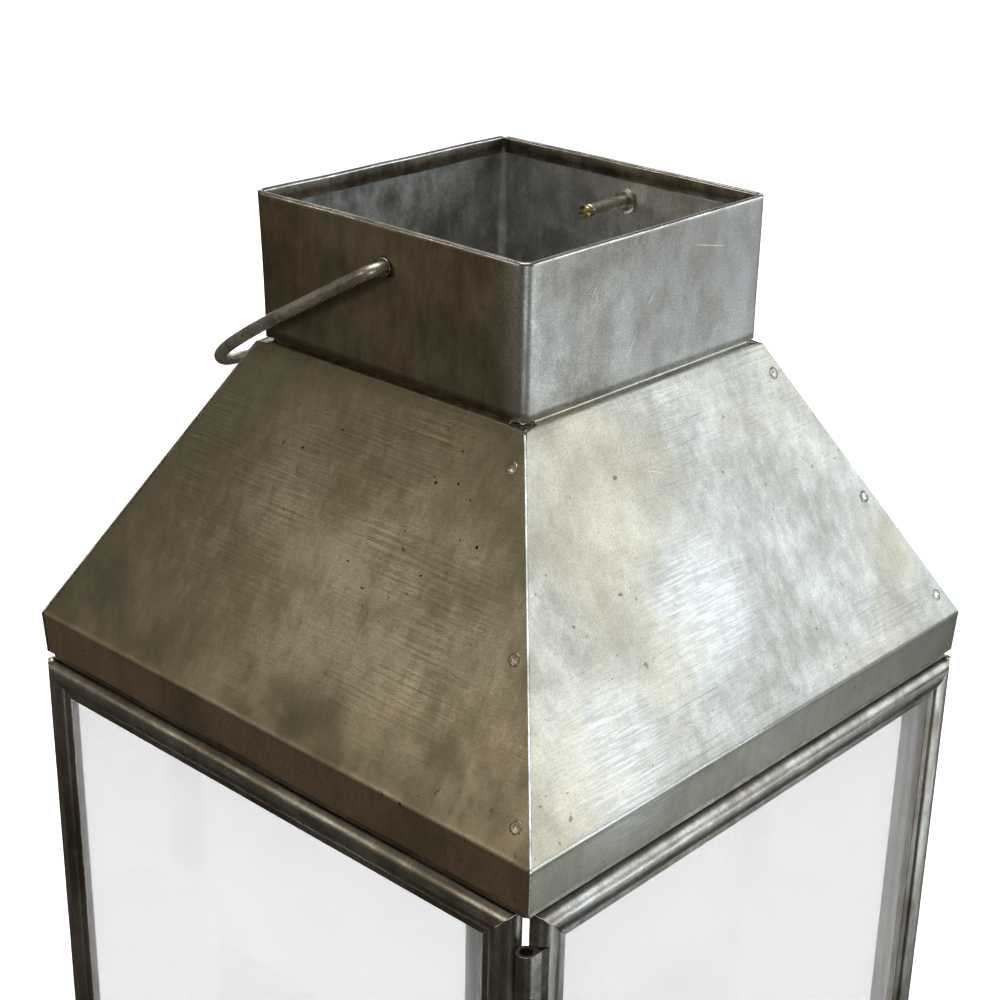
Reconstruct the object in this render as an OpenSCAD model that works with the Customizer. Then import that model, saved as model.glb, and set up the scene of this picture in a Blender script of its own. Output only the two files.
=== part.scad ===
// Square sheet-metal candle lantern: open chimney collar with a swinging bail,
// four-panel roof, glazed frames with a hinged door on the -Y side, and a plinth.
// Origin: centre of the footprint, on the surface that it stands on. +Z up.

/* [Overall] */
// Height from the table to the top edge of the collar
total_h = 600; // [480:1:760]
// Width of the roof across its eaves
eave_w = 260; // [240:1:280]
// Thickness of the sheet metal
sheet = 1; // [0.8:0.1:1.2]

/* [Roof and collar] */
// Outside width of the square collar
collar_w = 133.4; // [125:0.2:140]
// Height of the collar
collar_h = 56; // [50:1:70]
// Outside radius of the collar's bent corners
collar_r = 4.5; // [3:0.5:6]
// Depth of the hem folded inside the collar's top edge
hem_h = 7; // [5:0.5:10]
// Rise of the roof from its eaves to the collar
roof_h = 116; // [100:1:130]
// Depth of the skirt folded down below the eaves
skirt_h = 17.3; // [14:0.1:22]
// How far each side of the skirt leans in over its depth
skirt_lean = 0.8; // [0.4:0.1:1.2]
// Width of the flange that each roof panel tucks under its neighbour
lap_w = 10; // [6:0.5:12]

/* [Bail handle] */
// Diameter of the handle's rod
rod_d = 5; // [4:0.5:5]
// Height of the handle's pivot below the collar's top edge
pivot_drop = 15.2; // [14:0.1:18]
// Distance from the centre plane to each arm's centre line
arm_x = 72.5; // [72:0.5:75]
// Length of each arm's straight stretch
arm_len = 40; // [35:1:60]
// Radius of the handle's grip
grip_r = 36; // [25:1:50]
// Turn of each shoulder between its arm and the grip
shoulder_turn = 45; // [35:1:60]
// Angle of the handle below level where it lies on the roof
rest_angle = 29.5; // [20:0.1:29.5]
// Length of each rod end inside the collar
stub_len = 29; // [20:1:34]

/* [Frames and door] */
// Outside width of the body across its frames
body_w = 262; // [258:1:262]
// Depth of the folded frame section
frame_d = 6; // [6:0.5:7]
// Width of the sloped shoulder round each frame
bevel = 4.5; // [3:0.5:5]
// Width of a frame member from its outer edge to its inner step
face_w = 11; // [10:0.5:13]
// Depth of the step down to the glazing lip
lip_step = 2; // [1.5:0.5:2]
// Width of the glazing lip
lip_w = 3.2; // [2:0.2:5]
// Thickness of the glass
glass_t = 2; // [1.6:0.2:2]
// Space left at the hinge corner beside each frame
hinge_space = 7.5; // [7.5:0.1:8]
// Running gap round the door
door_gap = 0.6; // [0.4:0.1:1]

/* [Hinges and latch] */
// Outside diameter of the hinge knuckles
knuckle_d = 7; // [6.6:0.1:7]
// Diameter of the hinge pins
pin_d = 4.5; // [3.5:0.1:5]
// Length of one hinge knuckle
knuckle_h = 22; // [18:1:30]
// Distance from the skirt down to the upper hinge
hinge_drop = 16; // [12:1:30]
// Diameter of the latch's knob
knob_d = 11; // [9:0.5:12]
// Length of the latch's tongue from its spindle
tongue_len = 16; // [14:0.5:20]

/* [Candle] */
// Diameter of the pillar candle
candle_d = 75; // [50:1:90]
// Height of the pillar candle
candle_h = 150; // [80:5:180]
// Diameter of the candle plate
plate_d = 110; // [100:1:130]

/* [Hidden] */
$fn = 64;

// Sides: the turn about Z from the front, which faces -Y
FRONT = 0;
RIGHT = 90;
BACK = 180;
LEFT = -90;

BIG = 2400;                          // far larger than the whole lantern
TOUCH = 0.05;                        // gap left where two sheets lie together
metal_dark = "#6b6454";
metal_light = "#a39c88";
brass = "#b08d4a";

eave = eave_w / 2;
collar = collar_w / 2;
body = body_w / 2;
roof_top_z = total_h - collar_h;
eave_z = roof_top_z - roof_h;
skirt_z = eave_z - skirt_h;
slope = atan2(roof_h, eave - collar);
ring_drop = 3;                       // strip of the top ring that shows below the skirt
frame_top_z = skirt_z - ring_drop;
plinth_h = skirt_h;
pivot_z = total_h - pivot_drop;

section_w = face_w + lip_w;
hinge_edge = body - hinge_space;     // outer edge of both frames at the hinge corner
door_latch_edge = body - door_gap;
door_z0 = plinth_h + door_gap;
door_z1 = frame_top_z - door_gap;
right_front_edge = body - frame_d - door_gap;

// ---------- shared shapes ----------

// Square with rounded corners, from its half width
module rounded_square(half, r) {
    square([2 * half, 2 * (half - r)], center = true);
    square([2 * (half - r), 2 * half], center = true);
    for (x = [-1, 1], y = [-1, 1]) translate([x * (half - r), y * (half - r)]) circle(r);
}

// Everything below a plane that leans out towards -Y by the angle tilt from level
module below_plane(tilt, dist) {
    rotate([tilt, 0, 0]) translate([-BIG / 2, -BIG / 2, dist - BIG]) cube(BIG);
}

// Slab between two such planes
module slab(tilt, dist, thick) {
    rotate([tilt, 0, 0]) translate([-BIG / 2, -BIG / 2, dist - thick]) cube([BIG, BIG, thick]);
}

// Space between two heights
module level_band(z0, z1) {
    translate([-BIG / 2, -BIG / 2, z0]) cube([BIG, BIG, z1 - z0]);
}

// ---------- collar ----------

module collar_part() {
    hole_r = 3.75;
    tab = 12;
    color(metal_dark) difference() {
        union() {
            translate([0, 0, roof_top_z]) linear_extrude(collar_h) difference() {
                rounded_square(collar, collar_r);
                rounded_square(collar - sheet, collar_r - sheet);
            }
            // folded hem
            translate([0, 0, total_h - hem_h]) linear_extrude(hem_h) difference() {
                rounded_square(collar - sheet, collar_r - sheet);
                rounded_square(collar - 2 * sheet, collar_r - 2 * sheet);
            }
            // end of the strip, lapped inside the left wall at its rear corner
            translate([-collar + sheet, collar - collar_r - tab, roof_top_z + 8])
                cube([sheet, tab, collar_h - hem_h - 8]);
        }
        translate([0, 0, pivot_z]) rotate([0, 90, 0]) cylinder(r = hole_r, h = BIG, center = true);
    }
}

// Tubular eyelets that line the two pivot holes
module bail_eyelets() {
    bore = rod_d / 2 + 0.1;
    color(brass) for (side = [-1, 1])
        translate([side * collar, 0, pivot_z]) rotate([0, side * 90, 0]) rotate_extrude() polygon([
            [bore, -2.2 * sheet], [5.2, -2.2 * sheet], [5.2, -sheet], [3.7, -sheet],
            [3.7, 0], [4.5, 0], [4.5, 0.6], [4.1, 0.6], [bore + 0.7, 0], [bore, -0.9 * sheet]
        ]);
}

// ---------- bail handle ----------

elbow_r = 5;
shoulder_r = (arm_x - grip_r * cos(shoulder_turn)) / (1 - cos(shoulder_turn));
arm_run = elbow_r + arm_len;
shoulder_run = arm_run + shoulder_r * sin(shoulder_turn);

// Bent rod: part of a ring of the given centre-line radius, lying in the XY plane
module rod_bend(radius, from, turn) {
    rotate([0, 0, from]) rotate_extrude(angle = turn) translate([radius, 0]) circle(d = rod_d);
}

// One half of the handle, for +X, lying in the XY plane with its arm along +Y. It runs from
// the middle of the grip outwards, and each stretch starts where the last one ends.
module bail_half() {
    translate([0, shoulder_run - grip_r * sin(shoulder_turn), 0]) rotate([0, 0, shoulder_turn]) {
        rod_bend(grip_r, 0, 90 - shoulder_turn);
        translate([grip_r, 0, 0]) translate([-shoulder_r, 0, 0]) rotate([0, 0, -shoulder_turn]) {
            rod_bend(shoulder_r, 0, shoulder_turn);
            translate([shoulder_r, 0, 0]) {
                rotate([90, 0, 0]) cylinder(d = rod_d, h = arm_len);
                translate([-elbow_r, -arm_len, 0]) {
                    rod_bend(elbow_r, -90, 90);
                    translate([0, -elbow_r, 0]) rotate([0, -90, 0])
                        cylinder(d = rod_d, h = stub_len + sheet);
                }
            }
        }
    }
}

module bail_handle() {
    color(brass) translate([0, 0, pivot_z]) rotate([-rest_angle, 0, 0]) {
        bail_half();
        mirror([1, 0, 0]) bail_half();
    }
}

// ---------- roof ----------

roof_dist = eave * sin(slope) + eave_z * cos(slope);   // roof plane's distance from the origin
lean = atan2(skirt_lean, skirt_h);
skirt_tilt = 90 + lean;
skirt_dist = eave * cos(lean) - eave_z * sin(lean);

// One roof panel facing -Y: sloped sheet, folded skirt, the flange that tucks under its
// left neighbour and the short flange that stands up inside the collar
module roof_panel(side) {
    proud = 0.15;
    top_flange = 7;
    color(side == FRONT || side == RIGHT ? metal_light : metal_dark) rotate([0, 0, side]) {
        intersection() {
            slab(slope, roof_dist, sheet);
            level_band(eave_z - 0.3, roof_top_z);
            rotate([0, 0, 90]) below_plane(slope, roof_dist + proud);
            rotate([0, 0, -90]) below_plane(slope, roof_dist - sheet - TOUCH);
        }
        intersection() {
            rotate([0, 0, -90]) slab(slope, roof_dist - sheet - TOUCH, sheet);
            level_band(eave_z, roof_top_z - 2);
            difference() {
                below_plane(slope, roof_dist - sheet / 2);
                below_plane(slope, roof_dist - lap_w);
            }
        }
        intersection() {
            slab(skirt_tilt, skirt_dist, sheet);
            level_band(skirt_z, eave_z);
            rotate([0, 0, 90]) below_plane(skirt_tilt, skirt_dist + proud);
            rotate([0, 0, -90]) below_plane(skirt_tilt, skirt_dist - sheet - TOUCH);
        }
        translate([-collar + collar_r + 2, -collar + sheet + TOUCH, roof_top_z - 2.5])
            cube([2 * (collar - collar_r - 2), sheet, top_flange + 2.5]);
    }
}

// Three spot welds down each hip, on the panel that laps over its neighbour
module roof_spot_welds() {
    weld_r = 1.5;
    weld_h = 0.45;
    inset = 5.5;
    module weld(t) {
        half = collar + (eave - collar) * t;
        translate([half - inset, -half, roof_top_z - roof_h * t]) rotate([slope, 0, 0])
            rotate_extrude() polygon([
                [0, 0], [weld_r, 0], [weld_r * 0.85, weld_h * 0.6], [weld_r * 0.45, weld_h], [0, weld_h]
            ]);
    }
    color("silver") for (side = [FRONT, RIGHT, BACK, LEFT], t = [0.11, 0.55, 0.92])
        rotate([0, 0, side]) weld(t);
}

// Angle ring inside the skirt, which ties the roof to the frames
module top_ring() {
    outer = eave - skirt_lean - sheet - 0.15;
    ring_h = ring_drop + 11;
    shelf = 9;
    color(metal_dark) translate([0, 0, frame_top_z]) {
        linear_extrude(ring_h) difference() {
            rounded_square(outer, 2);
            rounded_square(outer - sheet, 2 - sheet / 2);
        }
        linear_extrude(sheet) difference() {
            rounded_square(outer - sheet / 2, 1.5);
            square(2 * (outer - shelf), center = true);
        }
    }
}

// ---------- frames and door ----------

// Folded section: x runs from the outer edge to the glass, y runs in from the face
module frame_section() {
    k = sheet * (sqrt(2) - 1);
    polygon([
        [0, frame_d], [0, bevel], [bevel, 0], [face_w, 0], [face_w, lip_step],
        [section_w, lip_step], [section_w, lip_step + sheet], [face_w - sheet, lip_step + sheet],
        [face_w - sheet, sheet], [bevel + k, sheet], [sheet, bevel + k], [sheet, frame_d]
    ]);
}

// Length of section running along +X from x0 to x1, its outer edge at z = edge_z and
// its glass side below that edge
module section_bar(x0, x1, edge_z) {
    translate([x0, -body, edge_z]) rotate([0, 90, 0]) linear_extrude(x1 - x0) frame_section();
}

// Outline of one member in the frame's plane, mitred at both ends
module mitre_shape(x0, x1, z0, z1, part) {
    w = section_w + 1;
    outline = part == "top" ? [[x0, z1], [x1, z1], [x1 - w, z1 - w], [x0 + w, z1 - w]]
        : part == "bottom" ? [[x0, z0], [x1, z0], [x1 - w, z0 + w], [x0 + w, z0 + w]]
        : part == "low_x" ? [[x0, z0], [x0, z1], [x0 + w, z1 - w], [x0 + w, z0 + w]]
        : [[x1, z0], [x1, z1], [x1 - w, z1 - w], [x1 - w, z0 + w]];
    rotate([90, 0, 0]) linear_extrude(BIG, center = true) polygon(outline);
}

// One member of a frame that faces -Y. corner_lo and corner_hi say which ends of the
// frame are mitred against the next frame round the body.
module frame_member(x0, x1, z0, z1, part, corner_lo = false, corner_hi = false) {
    mid_z = (z0 + z1) / 2;
    intersection() {
        if (part == "top") section_bar(x0, x1, z1);
        else if (part == "bottom") translate([0, 0, z0]) mirror([0, 0, 1]) section_bar(x0, x1, 0);
        else if (part == "low_x")
            translate([x0, 0, mid_z]) rotate([0, -90, 0]) section_bar(-(z1 - z0) / 2, (z1 - z0) / 2, 0);
        else
            translate([x1, 0, mid_z]) rotate([0, 90, 0]) section_bar(-(z1 - z0) / 2, (z1 - z0) / 2, 0);
        mitre_shape(x0, x1, z0, z1, part);
        // diagonal cuts in plan at the corners that two fixed frames share
        translate([0, 0, z0]) linear_extrude(z1 - z0) polygon([
            [corner_lo ? -body : -BIG, corner_lo ? -body : -BIG],
            [corner_hi ? body : BIG, corner_hi ? -body : -BIG],
            [corner_hi ? 0 : BIG, 0], [corner_lo ? 0 : -BIG, 0]
        ]);
    }
}

module left_frame(part) {
    color(metal_dark) rotate([0, 0, LEFT])
        frame_member(-body, hinge_edge, plinth_h, frame_top_z, part, corner_lo = true);
}
module right_frame(part) {
    color(metal_dark) rotate([0, 0, RIGHT])
        frame_member(-right_front_edge, body, plinth_h, frame_top_z, part, corner_hi = true);
}
module back_frame(part) {
    color(metal_dark) rotate([0, 0, BACK])
        frame_member(-body, body, plinth_h, frame_top_z, part, corner_lo = true, corner_hi = true);
}
module door_frame(part) {
    color(metal_dark) frame_member(-hinge_edge, door_latch_edge, door_z0, door_z1, part);
}

glass_y = -body + lip_step + sheet + TOUCH;
glass_inset = 6.5;
door_glass_inset = 9.8;

// Pane behind the lips of a frame that faces -Y
module pane(x0, x1, z0, z1, inset) {
    color("#d8e6e4", 0.35) translate([x0 + inset, glass_y, z0 + inset])
        cube([x1 - x0 - 2 * inset, glass_t, z1 - z0 - 2 * inset]);
}

// Tabs soldered in the top and bottom rails that hold a pane against its lips
module clips(x0, x1, z0, z1) {
    tab_w = 10;
    tab_t = 0.8;
    reach = 9;
    color(metal_dark) for (f = [0.2, 0.5, 0.8], top = [false, true])
        translate([x0 + (x1 - x0) * f - tab_w / 2, glass_y + glass_t + TOUCH / 2,
                top ? z1 - sheet - reach : z0 + sheet])
            cube([tab_w, tab_t, reach]);
}

module frame_glass_clips() {
    rotate([0, 0, LEFT]) clips(-body, hinge_edge, plinth_h, frame_top_z);
    rotate([0, 0, RIGHT]) clips(-right_front_edge, body, plinth_h, frame_top_z);
    rotate([0, 0, BACK]) clips(-body, body, plinth_h, frame_top_z);
}

// ---------- hinges ----------

hinge_r = knuckle_d / 2;
hinge_c = body - hinge_r - 0.2;      // hinge axis is at (-hinge_c, -hinge_c)
hinge_clear = 0.3;
knuckle_pitch = knuckle_h + hinge_clear;
hinge_h = 3 * knuckle_h + 2 * hinge_clear;
hinge_tops = [skirt_z - hinge_drop, plinth_h + hinge_drop + hinge_h - ring_drop];

// Knuckle with its leaf soldered to the shoulder of the door's stile
module knuckle(top) {
    bevel_sum = hinge_edge + body - bevel;
    difference() {
        translate([0, 0, top - knuckle_h]) linear_extrude(knuckle_h) union() {
            translate([-hinge_c, -hinge_c]) circle(hinge_r);
            polygon([
                [-hinge_c, -hinge_c - hinge_r], [hinge_c + hinge_r - bevel_sum, -hinge_c - hinge_r],
                [-hinge_edge, -body + bevel], [-hinge_c, -body + bevel]
            ]);
        }
        translate([-hinge_c, -hinge_c, top - knuckle_h - 1])
            cylinder(d = pin_d + 0.1, h = knuckle_h + 2);
    }
}

module door_hinge_knuckles() {
    color(metal_dark) for (top = hinge_tops, i = [0, 2]) knuckle(top - i * knuckle_pitch);
}
module frame_hinge_knuckles() {
    color(metal_dark) for (top = hinge_tops) rotate([0, 0, -90]) mirror([1, 0, 0])
        knuckle(top - knuckle_pitch);
}
module hinge_pins() {
    recess = 3.5;
    color("#4a463e") for (top = hinge_tops)
        translate([-hinge_c, -hinge_c, top - hinge_h]) cylinder(d = pin_d, h = hinge_h - recess);
}

// ---------- latch ----------

latch_z = (door_z0 + door_z1) / 2;
spindle_d = 2.4;
rosette_gap = 0.9;                   // from the door's face to where the knob is measured
knob_base = 0.4;                     // height of the knob's flat base above that
latch_x = door_latch_edge - (bevel + face_w) / 2;
tongue_y = -body + frame_d + 1.9;
tongue_t = 1.2;

// Rotates a shape made along +Z so that it points out of the door, towards -Y
module out_of_door(y) {
    translate([latch_x, y, latch_z]) rotate([90, 0, 0]) children();
}

module latch_rosette() {
    color(brass) out_of_door(-body) difference() {
        cylinder(r = 3.2, h = 0.8);
        translate([0, 0, -1]) cylinder(d = spindle_d + 0.1, h = 3);
    }
}
module latch_knob() {
    r = knob_d / 2;
    color(brass) out_of_door(-body - rosette_gap) rotate_extrude() polygon(concat(
        [[0, knob_base], [3, knob_base], [2.2, 1.6], [2, 3.2], [2.6, 4]],
        [for (a = [-50:10:90]) [r * cos(a), 8.2 + 5.2 * sin(a)]]
    ));
}
module latch_spindle() {
    color("#8d8a80") out_of_door(tongue_y + tongue_t) cylinder(
        d = spindle_d, h = tongue_y + tongue_t + body + rosette_gap + knob_base);
}
// At rest the tongue points to the glass; a quarter turn brings it up behind the keeper
module latch_tongue() {
    half_w = 2;
    color(metal_dark) translate([latch_x, tongue_y + tongue_t, latch_z]) rotate([90, 0, 0])
        linear_extrude(tongue_t) difference() {
            union() {
                circle(half_w);
                translate([-tongue_len + half_w, -half_w]) square([tongue_len - half_w, 2 * half_w]);
                translate([-tongue_len + half_w, 0]) circle(half_w);
            }
            circle(d = spindle_d);
        }
}
module latch_keeper() {
    keeper_y = -right_front_edge;
    color(metal_dark) translate([latch_x - 8, keeper_y, latch_z + 6])
        cube([body - frame_d - latch_x + 8, 0.8, 9]);
}

// ---------- plinth and candle ----------

module plinth() {
    foot = 8;
    lean_h = skirt_lean;
    top_half = eave - lean_h;
    // hollow below the deck, narrower by the sheet all round
    module shell(shrink, z0, z1) {
        intersection_for(side = [FRONT, RIGHT, BACK, LEFT]) rotate([0, 0, side])
            intersection() {
                below_plane(90 - lean, top_half * cos(lean) + plinth_h * sin(lean) - shrink);
                level_band(z0, z1);
            }
    }
    color(metal_dark) difference() {
        shell(0, 0, plinth_h);
        shell(sheet, sheet, plinth_h - sheet);
        translate([0, 0, -1]) linear_extrude(sheet + 2) square(2 * (eave - foot), center = true);
    }
}

module candle_plate() {
    r = plate_d / 2;
    rim = 8;
    color(brass) translate([0, 0, plinth_h]) rotate_extrude() polygon([
        [0, 0], [r - 6, 0], [r - 1, rim - 2], [r, rim - 1.2], [r, rim], [r - 1.2, rim],
        [r - 2.4, rim - 1], [r - 6.8, sheet], [0, sheet]
    ]);
}
module plate_rivets() {
    color("#8d8a80") for (a = [0:90:270]) rotate([0, 0, a + 45])
        translate([plate_d / 2 - 11, 0, plinth_h + sheet]) rotate_extrude()
            polygon([[0, 0], [2.5, 0], [2.2, 0.8], [1.2, 1.3], [0, 1.4]]);
}
candle_z = plinth_h + sheet;
module candle_spike() {
    color("#8d8a80") translate([0, 0, candle_z]) rotate_extrude()
        polygon([[0, 0], [2, 0], [2, 18], [0.4, 26], [0, 26]]);
}
module candle() {
    r = candle_d / 2;
    color("ivory") translate([0, 0, candle_z]) difference() {
        rotate_extrude() polygon([
            [0, 0], [r - 1, 0], [r, 1], [r, candle_h - 2], [r - 2, candle_h],
            [r - 8, candle_h - 1.5], [6, candle_h - 4], [0, candle_h - 4]
        ]);
        translate([0, 0, -1]) cylinder(r = 2.1, h = 28);
        translate([0, 0, candle_h - 16]) cylinder(r = 1, h = 20);
    }
}
module candle_wick() {
    color("#2b2622") translate([0, 0, candle_z + candle_h - 16]) cylinder(r = 1, h = 26);
}

// ---------- nodes ----------

collar_part();  // collar
bail_eyelets();
bail_handle();
roof_panel(FRONT);  // roof_panel_front
roof_panel(RIGHT);  // roof_panel_right
roof_panel(BACK);  // roof_panel_back
roof_panel(LEFT);  // roof_panel_left
roof_spot_welds();
top_ring();
left_frame("top");  // left_frame_top_rail
left_frame("bottom");  // left_frame_bottom_rail
left_frame("high_x");  // left_frame_front_stile
left_frame("low_x");  // left_frame_rear_stile
right_frame("top");  // right_frame_top_rail
right_frame("bottom");  // right_frame_bottom_rail
right_frame("low_x");  // right_frame_front_stile
right_frame("high_x");  // right_frame_rear_stile
back_frame("top");  // back_frame_top_rail
back_frame("bottom");  // back_frame_bottom_rail
back_frame("low_x");  // back_frame_right_stile
back_frame("high_x");  // back_frame_left_stile
door_frame("top");  // door_top_rail
door_frame("bottom");  // door_bottom_rail
door_frame("low_x");  // door_hinge_stile
difference() {  // door_latch_stile
    door_frame("high_x");
    out_of_door(-body + frame_d) cylinder(d = spindle_d + 0.1, h = 10);
}
rotate([0, 0, LEFT]) pane(-body, hinge_edge, plinth_h, frame_top_z, glass_inset);  // left_glass
rotate([0, 0, RIGHT]) pane(-right_front_edge, body, plinth_h, frame_top_z, glass_inset);  // right_glass
rotate([0, 0, BACK]) pane(-body, body, plinth_h, frame_top_z, glass_inset);  // back_glass
pane(-hinge_edge, door_latch_edge, door_z0, door_z1, door_glass_inset);  // door_glass
frame_glass_clips();
clips(-hinge_edge, door_latch_edge, door_z0, door_z1);  // door_glass_clips
frame_hinge_knuckles();
door_hinge_knuckles();
hinge_pins();
latch_rosette();
latch_knob();
latch_spindle();
latch_tongue();
latch_keeper();
plinth();
candle_plate();
plate_rivets();
candle_spike();
candle();
candle_wick();
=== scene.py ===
"""Candle lantern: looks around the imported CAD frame. Metres, +Z up, door on the -Y side."""
import math

import bmesh
import bpy
from mathutils import Matrix, Vector, noise
from mathutils.bvhtree import BVHTree


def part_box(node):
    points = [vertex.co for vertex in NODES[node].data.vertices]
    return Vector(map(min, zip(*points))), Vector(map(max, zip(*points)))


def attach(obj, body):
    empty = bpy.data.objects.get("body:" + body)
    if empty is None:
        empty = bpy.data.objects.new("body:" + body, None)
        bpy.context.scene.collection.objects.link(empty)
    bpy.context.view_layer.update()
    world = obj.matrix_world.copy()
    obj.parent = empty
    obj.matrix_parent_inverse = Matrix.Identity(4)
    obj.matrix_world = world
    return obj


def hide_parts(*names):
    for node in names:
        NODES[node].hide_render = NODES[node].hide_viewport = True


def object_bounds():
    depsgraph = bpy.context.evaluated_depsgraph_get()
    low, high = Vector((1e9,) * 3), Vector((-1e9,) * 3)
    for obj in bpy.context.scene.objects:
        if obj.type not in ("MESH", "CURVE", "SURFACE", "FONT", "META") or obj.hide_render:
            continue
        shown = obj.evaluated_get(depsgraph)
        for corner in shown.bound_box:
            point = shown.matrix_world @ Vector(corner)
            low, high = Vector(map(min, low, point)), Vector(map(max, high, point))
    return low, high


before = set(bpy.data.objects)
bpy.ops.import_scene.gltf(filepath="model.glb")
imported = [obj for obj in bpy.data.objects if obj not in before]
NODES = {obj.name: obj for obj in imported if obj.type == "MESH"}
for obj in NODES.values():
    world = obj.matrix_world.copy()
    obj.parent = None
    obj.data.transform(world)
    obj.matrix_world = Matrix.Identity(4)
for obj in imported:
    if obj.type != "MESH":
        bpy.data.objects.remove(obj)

cad_lo, cad_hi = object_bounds()

# ---------- sizes: from the CAD's boxes; the bare figures repeat numbers in part.scad ----------

collar_lo, collar_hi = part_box("collar")
COLLAR = collar_hi.y                      # half width of the collar
TOP_Z = collar_hi.z
ROOF_TOP = collar_lo.z
SHEET = 0.001
front_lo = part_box("roof_panel_front")[0]
SKIRT_Z = front_lo.z
EAVE = -front_lo.y                        # half width of the roof at its eaves
EAVE_Z = SKIRT_Z + 0.0173
SKIRT_LEAN = 0.0008
COLLAR_BEND = 0.0045                      # outside radius of the collar's corners
ROD = 0.005                               # thickness of the handle
eyelet_lo, eyelet_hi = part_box("bail_eyelets")
PIVOT_Z = (eyelet_lo.z + eyelet_hi.z) / 2
candle_lo, candle_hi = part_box("candle")
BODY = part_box("back_frame_top_rail")[1].y # half width across the frames
FRAME_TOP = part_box("left_frame_top_rail")[1].z

# ---------- camera ----------


def new_object(name, data):
    """An object in the scene's own collection."""
    obj = bpy.data.objects.new(name, data)
    bpy.context.scene.collection.objects.link(obj)
    return obj


YAW, PITCH, ROLL = math.radians(47.73), math.radians(23.2), math.radians(1.17)
eye = Vector((-0.5268, -0.4750, TOP_Z + 0.1807))
ahead = Vector((math.sin(YAW) * math.cos(PITCH), math.cos(YAW) * math.cos(PITCH), -math.sin(PITCH)))
right = Vector((math.cos(YAW), -math.sin(YAW), 0))
up = right.cross(ahead)
cam_x = right * math.cos(ROLL) + up * math.sin(ROLL)
cam_y = up * math.cos(ROLL) - right * math.sin(ROLL)
cam_data = bpy.data.cameras.new("camera")
cam_data.lens = 70.98
cam_data.sensor_width = 36
camera = new_object("camera", cam_data)
axes = Matrix((cam_x, cam_y, -ahead)).transposed()
camera.matrix_world = Matrix.Translation(eye) @ axes.to_4x4()
bpy.context.scene.camera = camera

# ---------- node material helpers ----------


class Shader:
    """A node material under construction."""

    def __init__(self, name):
        self.mat = bpy.data.materials.new(name)
        self.mat.use_nodes = True
        self.tree = self.mat.node_tree
        self.tree.nodes.clear()
        self.out = self.add("ShaderNodeOutputMaterial")
        self.coord = self.add("ShaderNodeTexCoord").outputs["Object"]

    def add(self, kind, **settings):
        node = self.tree.nodes.new(kind)
        for key, value in settings.items():
            setattr(node, key, value)
        return node

    def link(self, source, target):
        self.tree.links.new(source, target)

    def mapping(self, scale=(1, 1, 1), turn=(0, 0, 0), move=(0, 0, 0)):
        node = self.add("ShaderNodeMapping")
        node.inputs["Scale"].default_value = scale
        node.inputs["Rotation"].default_value = [math.radians(a) for a in turn]
        node.inputs["Location"].default_value = move
        self.link(self.coord, node.inputs["Vector"])
        return node.outputs["Vector"]

    def noise(self, scale, detail=4, rough=0.55, distortion=0.0, vector=None):
        node = self.add("ShaderNodeTexNoise")
        node.inputs["Scale"].default_value = scale
        node.inputs["Detail"].default_value = detail
        node.inputs["Roughness"].default_value = rough
        node.inputs["Distortion"].default_value = distortion
        self.link(vector or self.coord, node.inputs["Vector"])
        return node.outputs["Fac"]

    def ramp(self, value, low, high, to_low=0.0, to_high=1.0):
        node = self.add("ShaderNodeMapRange", interpolation_type="SMOOTHSTEP")
        self.link(value, node.inputs["Value"])
        for key, number in zip(("From Min", "From Max", "To Min", "To Max"),
                               (low, high, to_low, to_high)):
            node.inputs[key].default_value = number
        return node.outputs["Result"]

    def mix(self, share, a, b, how="MIX"):
        node = self.add("ShaderNodeMix", data_type="RGBA", blend_type=how)
        for socket, value in ((node.inputs[0], share), (node.inputs[6], a), (node.inputs[7], b)):
            if isinstance(value, (int, float)):
                socket.default_value = value
            elif isinstance(value, (tuple, list)):
                socket.default_value = (*value, 1)
            else:
                self.link(value, socket)
        return node.outputs[2]

    def axis(self, number):
        node = self.add("ShaderNodeSeparateXYZ")
        self.link(self.coord, node.inputs[0])
        return node.outputs[number]

    def math(self, how, a, b):
        node = self.add("ShaderNodeMath", operation=how)
        for socket, value in zip(node.inputs, (a, b)):
            if isinstance(value, (int, float)):
                socket.default_value = value
            else:
                self.link(value, socket)
        return node.outputs[0]

    def bump(self, height, distance, strength=1.0, under=None):
        node = self.add("ShaderNodeBump")
        node.inputs["Distance"].default_value = distance
        node.inputs["Strength"].default_value = strength
        self.link(height, node.inputs["Height"])
        if under is not None:
            self.link(under, node.inputs["Normal"])
        return node.outputs["Normal"]

    def principled(self, **values):
        node = self.add("ShaderNodeBsdfPrincipled")
        for key, value in values.items():
            socket = node.inputs[key.replace("_", " ")]
            if isinstance(value, (int, float)):
                socket.default_value = value
            elif isinstance(value, (tuple, list)):
                socket.default_value = (*value, 1)
            else:
                self.link(value, socket)
        return node.outputs[0]

    def done(self, surface):
        self.link(surface, self.out.inputs["Surface"])
        return self.mat


def shade(colour, factor):
    """The same colour, lighter or darker."""
    return [min(1, c * factor) for c in colour]


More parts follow.
